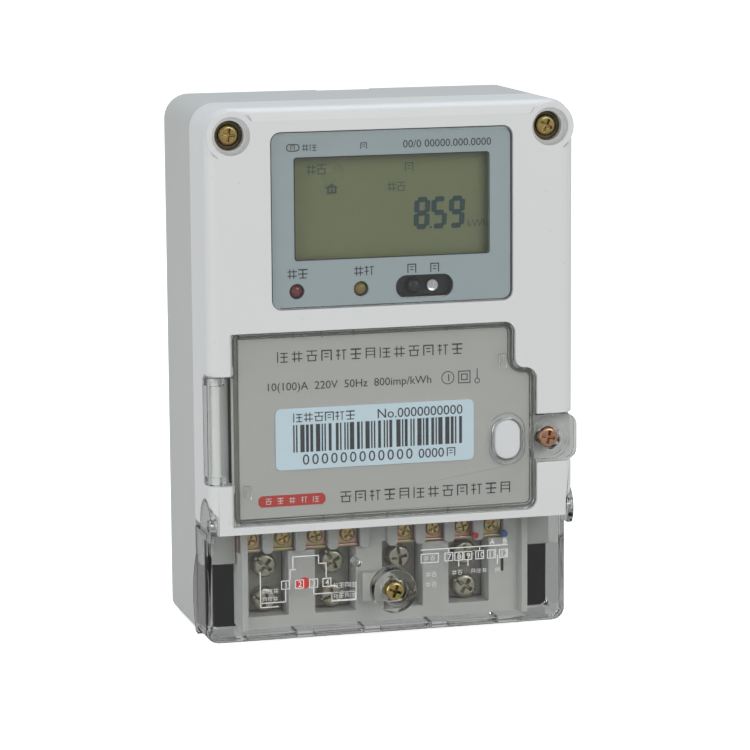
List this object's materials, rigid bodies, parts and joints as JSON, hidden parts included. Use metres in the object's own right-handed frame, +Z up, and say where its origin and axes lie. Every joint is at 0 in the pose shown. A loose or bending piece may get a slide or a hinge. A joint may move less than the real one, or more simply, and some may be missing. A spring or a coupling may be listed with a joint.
{
  "type": "prepaid electricity meter",
  "caption": "Wall-hung prepaid electricity meter: box-shaped case with a display window, a clear side-hinged nameplate door with a button, and a clear flip-up terminal cover.",
  "frame": {"origin": "centre of the flat back face", "axes": "+Z up, +Y out of the back face towards the wall, -Y towards the reader, +X to the reader's right"},
  "size_m": [0.1136, 0.058, 0.16],
  "materials": {
    "rear_case": "light grey moulded plastic",
    "front_cover": "warm white moulded plastic, finely textured",
    "gasket": "black sealing rubber",
    "yellow_zinc": "yellow zinc plated steel",
    "clear_plastic": "clear polycarbonate",
    "panel": "blue-grey printed film",
    "lcd": "olive liquid crystal display glass",
    "white_plastic": "white moulded plastic",
    "red_lamp": "red epoxy",
    "amber_lamp": "amber epoxy",
    "dark_lamp": "dark infrared epoxy",
    "clear_lamp": "clear epoxy",
    "nameplate": "grey printed plate",
    "label": "pale blue paper",
    "copper_zinc": "copper-toned plated steel",
    "brass": "bright brass",
    "black_plastic": "black moulded plastic",
    "board": "green solder mask on glass laminate",
    "iron_core": "varnished laminations and windings",
    "battery": "shrink-sleeved cell",
    "varistor": "blue epoxy coating",
    "terminal_grey": "grey moulded thermoset",
    "steel": "bright plated steel"
  },
  "bodies": {
    "meter": {"rear_case": "rear_case", "front_cover": "front_cover", "cover_gasket": "gasket", "cover_screw_left": "yellow_zinc", "cover_screw_right": "yellow_zinc", "display_lens": "clear_plastic", "display_panel": "panel", "lcd_glass": "lcd", "lcd_backlight": "white_plastic", "pulse_led": "red_lamp", "alarm_led": "amber_lamp", "ir_receiver": "dark_lamp", "ir_emitter": "clear_lamp", "nameplate": "nameplate", "barcode_label": "label", "door_hinge_pin": "white_plastic", "door_screw_insert": "brass", "tact_switch": "black_plastic", "main_board": "board", "power_transformer": "iron_core", "latching_relay": "black_plastic", "current_shunt": "brass", "backup_battery": "battery", "varistor": "varistor", "terminal_block": "terminal_grey", "terminal_1": "steel", "terminal_1_screw_lower": "yellow_zinc", "terminal_1_screw_upper": "yellow_zinc", "terminal_2": "steel", "terminal_2_screw_lower": "yellow_zinc", "terminal_2_screw_upper": "yellow_zinc", "terminal_3": "steel", "terminal_3_screw_lower": "yellow_zinc", "terminal_3_screw_upper": "yellow_zinc", "terminal_4": "steel", "terminal_4_screw_lower": "yellow_zinc", "terminal_4_screw_upper": "yellow_zinc", "aux_screw_1": "yellow_zinc", "aux_screw_2": "yellow_zinc", "aux_screw_3": "yellow_zinc", "aux_screw_4": "yellow_zinc", "aux_screw_5": "yellow_zinc", "aux_screw_6": "yellow_zinc", "aux_screw_7": "yellow_zinc", "aux_screw_8": "yellow_zinc", "terminal_cover_insert": "brass", "cover_pivot_left": "steel", "cover_pivot_right": "steel"},
    "nameplate_door": {"nameplate_door": "clear_plastic"},
    "door_seal_screw": {"door_seal_screw": "copper_zinc"},
    "terminal_cover": {"terminal_cover": "clear_plastic"},
    "terminal_cover_screw": {"terminal_cover_screw": "yellow_zinc"},
    "scroll_button": {"scroll_button": "white_plastic", "switch_plunger": "black_plastic"},
    "hanging_hook": {"hanging_hook": "steel"}
  },
  "joints": [
    {"name": "door_hinge", "type": "hinge", "parent": "meter", "child": "nameplate_door", "pos_m": [-0.0534, -0.0544, -0.0145], "axis": [0, 0, -1], "range_deg": [0, 150]},
    {"name": "door_screw_slide", "type": "slide", "parent": "nameplate_door", "child": "door_seal_screw", "axis": [0, -1, 0], "range_m": [0, 0.005]},
    {"name": "terminal_cover_hinge", "type": "hinge", "parent": "meter", "child": "terminal_cover", "pos_m": [0, -0.054, -0.043], "axis": [-1, 0, 0], "range_deg": [0, 95]},
    {"name": "terminal_cover_screw_slide", "type": "slide", "parent": "terminal_cover", "child": "terminal_cover_screw", "axis": [0, -1, 0], "range_m": [0, 0.005]},
    {"name": "button_press", "type": "slide", "parent": "meter", "child": "scroll_button", "axis": [0, 1, 0], "range_m": [0, 0.001], "stiffness_N_per_m": 1500, "springref_m": -0.001},
    {"name": "hook_slide", "type": "slide", "parent": "meter", "child": "hanging_hook", "axis": [0, 0, 1], "range_m": [0, 0.009]}
  ]
}
